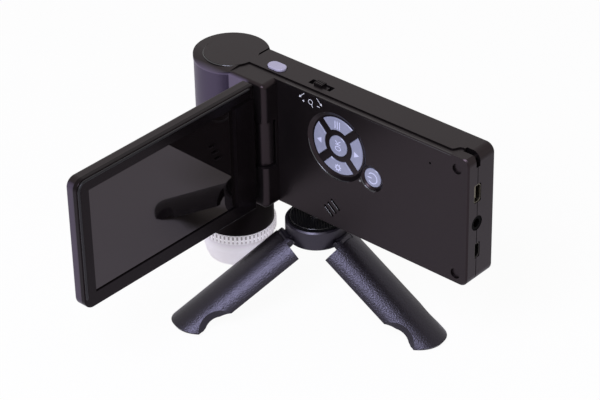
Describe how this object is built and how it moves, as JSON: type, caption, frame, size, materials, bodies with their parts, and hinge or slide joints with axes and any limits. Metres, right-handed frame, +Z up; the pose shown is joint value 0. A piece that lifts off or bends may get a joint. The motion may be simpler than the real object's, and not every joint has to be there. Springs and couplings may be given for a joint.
{
  "type": "lcd digital microscope",
  "caption": "Handheld digital microscope: slab housing with keys, side-hinged screen lid, focusing barrel with clear nose, folding tripod.",
  "frame": {"origin": "middle of the clear nose's mouth, on the optical axis", "axes": "+Z up along the optical axis, +X along the slab from the barrel to the socket end, the key face looks towards -Y"},
  "size_m": [0.1403, 0.1667, 0.1021],
  "materials": {
    "black_shell": "gloss black",
    "dark_barrel": "satin dark violet",
    "clear_nose": "clear moulded",
    "screen_glass": "mirror gloss tinted window",
    "violet_key": "translucent lavender",
    "leg_plastic": "fine grain satin",
    "pad_rubber": "ribbed",
    "steel": "bright",
    "switch_metal": "plain",
    "brass_insert": "turned",
    "board": "solder mask",
    "cell": "foil wrap",
    "lens_glass": "coated",
    "lamp_white": "moulded lens"
  },
  "bodies": {
    "housing": {"front_shell": "black_shell", "rear_shell": "black_shell", "barrel_tube": "dark_barrel", "nose_cap": "clear_nose", "lamp_board": "board", "ring_lamps": "lamp_white", "sensor_board": "board", "image_sensor": "lens_glass", "main_board": "board", "tact_switches": "switch_metal", "zoom_switch": "switch_metal", "speaker": "switch_metal", "microphone": "switch_metal", "status_lamp": "lamp_white", "battery": "cell", "card_socket": "switch_metal", "usb_socket": "switch_metal", "hdmi_socket": "switch_metal", "av_jack": "black_shell", "case_screws": "steel", "tripod_insert": "brass_insert", "hinge_pin": "steel", "tripod_head": "leg_plastic", "tripod_base": "leg_plastic", "tripod_pad": "pad_rubber", "tripod_screw": "steel", "leg_pins": "steel"},
    "lid": {"lid_back_cover": "black_shell", "lid_bezel": "black_shell", "screen_glass": "screen_glass", "lcd_panel": "cell"},
    "focus": {"focus_ring": "black_shell"},
    "carrier": {"lens_carrier": "dark_barrel", "objective_lens": "lens_glass"},
    "pad_right": {"key_right": "violet_key"},
    "pad_up": {"key_up": "violet_key"},
    "pad_left": {"key_left": "violet_key"},
    "pad_down": {"key_down": "violet_key"},
    "pad_ok": {"key_ok": "violet_key"},
    "power": {"power_key": "violet_key"},
    "snap": {"snap_button": "violet_key"},
    "zoom": {"zoom_lever": "black_shell"},
    "tripod_front": {"leg_front": "leg_plastic"},
    "tripod_side": {"leg_side": "leg_plastic"},
    "tripod_rear": {"leg_rear": "leg_plastic"}
  },
  "joints": [
    {"name": "lid_hinge", "type": "hinge", "parent": "housing", "child": "lid", "pos_m": [0.0232, -0.0071, 0.037], "axis": [0, 0, 1], "range_deg": [-13, 91]},
    {"name": "focus_turn", "type": "hinge", "parent": "housing", "child": "focus", "pos_m": [0, 0, 0.016], "axis": [0, 0, 1], "range_deg": [-180, 180]},
    {"name": "lens_slide", "type": "slide", "parent": "housing", "child": "carrier", "axis": [0, 0, 1], "range_m": [-0.005, 0.005]},
    {"name": "press_right", "type": "slide", "parent": "housing", "child": "pad_right", "axis": [0, 1, 0], "range_m": [0, 0.0005], "stiffness_N_per_m": 500, "springref_m": -0.0005},
    {"name": "press_up", "type": "slide", "parent": "housing", "child": "pad_up", "axis": [0, 1, 0], "range_m": [0, 0.0005], "stiffness_N_per_m": 500, "springref_m": -0.0005},
    {"name": "press_left", "type": "slide", "parent": "housing", "child": "pad_left", "axis": [0, 1, 0], "range_m": [0, 0.0005], "stiffness_N_per_m": 500, "springref_m": -0.0005},
    {"name": "press_down", "type": "slide", "parent": "housing", "child": "pad_down", "axis": [0, 1, 0], "range_m": [0, 0.0005], "stiffness_N_per_m": 500, "springref_m": -0.0005},
    {"name": "press_ok", "type": "slide", "parent": "housing", "child": "pad_ok", "axis": [0, 1, 0], "range_m": [0, 0.0005], "stiffness_N_per_m": 500, "springref_m": -0.0005},
    {"name": "press_power", "type": "slide", "parent": "housing", "child": "power", "axis": [0, 1, 0], "range_m": [0, 0.0005], "stiffness_N_per_m": 500, "springref_m": -0.0005},
    {"name": "press_snap", "type": "slide", "parent": "housing", "child": "snap", "axis": [0, 0, -1], "range_m": [0, 0.0006], "stiffness_N_per_m": 500, "springref_m": -0.0005},
    {"name": "zoom_slide", "type": "slide", "parent": "housing", "child": "zoom", "axis": [1, 0, 0], "range_m": [-0.0015, 0.0015], "stiffness_N_per_m": 250},
    {"name": "leg_front_fold", "type": "hinge", "parent": "housing", "child": "tripod_front", "pos_m": [0.03496, -0.00923, 0.0251], "axis": [0.8988, -0.4384, 0], "range_deg": [0, 58.5]},
    {"name": "leg_side_fold", "type": "hinge", "parent": "housing", "child": "tripod_side", "pos_m": [0.05507, 0.00433, 0.0251], "axis": [-0.0698, 0.9976, 0], "range_deg": [0, 56.5]},
    {"name": "leg_rear_fold", "type": "hinge", "parent": "housing", "child": "tripod_rear", "pos_m": [0.03327, 0.01496, 0.0251], "axis": [-0.829, -0.5592, 0], "range_deg": [0, 58.5]}
  ],
  "couplings": [
    {"joint": "lens_slide", "follows": "focus_turn", "m_per_rad": 0.0015}
  ]
}
